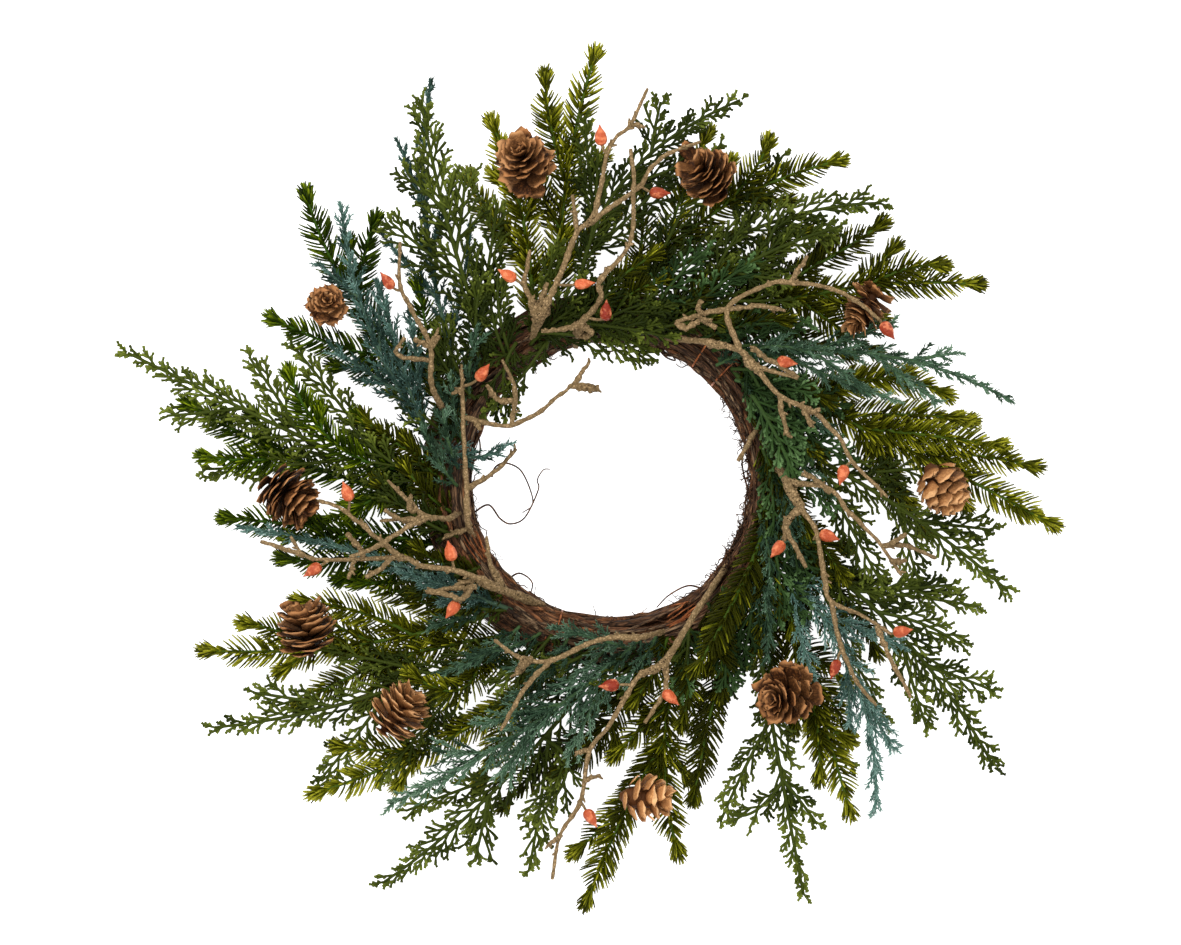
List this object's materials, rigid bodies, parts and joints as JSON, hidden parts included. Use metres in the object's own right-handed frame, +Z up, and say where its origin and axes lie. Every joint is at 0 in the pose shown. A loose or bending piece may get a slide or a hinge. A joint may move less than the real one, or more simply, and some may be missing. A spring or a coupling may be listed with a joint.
{
  "type": "evergreen wreath",
  "caption": "Round wreath of fir, cedar and juniper sprays on a twisted vine ring, with open cones, bare twigs and rose hips.",
  "frame": {"origin": "middle of the outline in plan, on the surface that the wreath lies on", "axes": "+Z up out of the wreath's front face, +Y towards the top of the wreath as hung, +X to its right seen from the front, along the longest extent"},
  "size_m": [0.602, 0.553, 0.078],
  "materials": {
    "bark": "rough dark vine bark",
    "wire": "copper-coloured binding wire",
    "fir": "fresh fir needles, satin",
    "cedar": "fresh cedar scales",
    "juniper": "blue-green juniper with a waxy bloom",
    "twig": "knobbly tan bark with coral-red hips",
    "cone": "dry brown cone scales"
  },
  "bodies": {
    "root": {"vine_ring": "bark", "binding_wire_1": "wire", "binding_wire_2": "wire", "fir_01": "fir", "fir_02": "fir", "fir_03": "fir", "fir_04": "fir", "fir_05": "fir", "fir_06": "fir", "fir_07": "fir", "fir_08": "fir", "fir_09": "fir", "fir_10": "fir", "fir_11": "fir", "fir_12": "fir", "fir_13": "fir", "fir_14": "fir", "fir_15": "fir", "fir_16": "fir", "fir_17": "fir", "fir_18": "fir", "cedar_01": "cedar", "cedar_02": "cedar", "cedar_03": "cedar", "cedar_04": "cedar", "cedar_05": "cedar", "cedar_06": "cedar", "cedar_07": "cedar", "cedar_08": "cedar", "cedar_09": "cedar", "cedar_10": "cedar", "cedar_11": "cedar", "cedar_12": "cedar", "juniper_01": "juniper", "juniper_02": "juniper", "juniper_03": "juniper", "juniper_04": "juniper", "juniper_05": "juniper", "juniper_06": "juniper", "twig_01": "twig", "twig_02": "twig", "twig_03": "twig", "twig_04": "twig", "twig_05": "twig", "twig_06": "twig", "twig_07": "twig", "twig_08": "twig", "twig_09": "twig", "twig_10": "twig", "cone_01": "cone", "cone_02": "cone", "cone_03": "cone", "cone_04": "cone", "cone_05": "cone", "cone_06": "cone", "cone_07": "cone", "cone_08": "cone", "cone_09": "cone", "cone_10": "cone"}
  },
  "joints": []
}
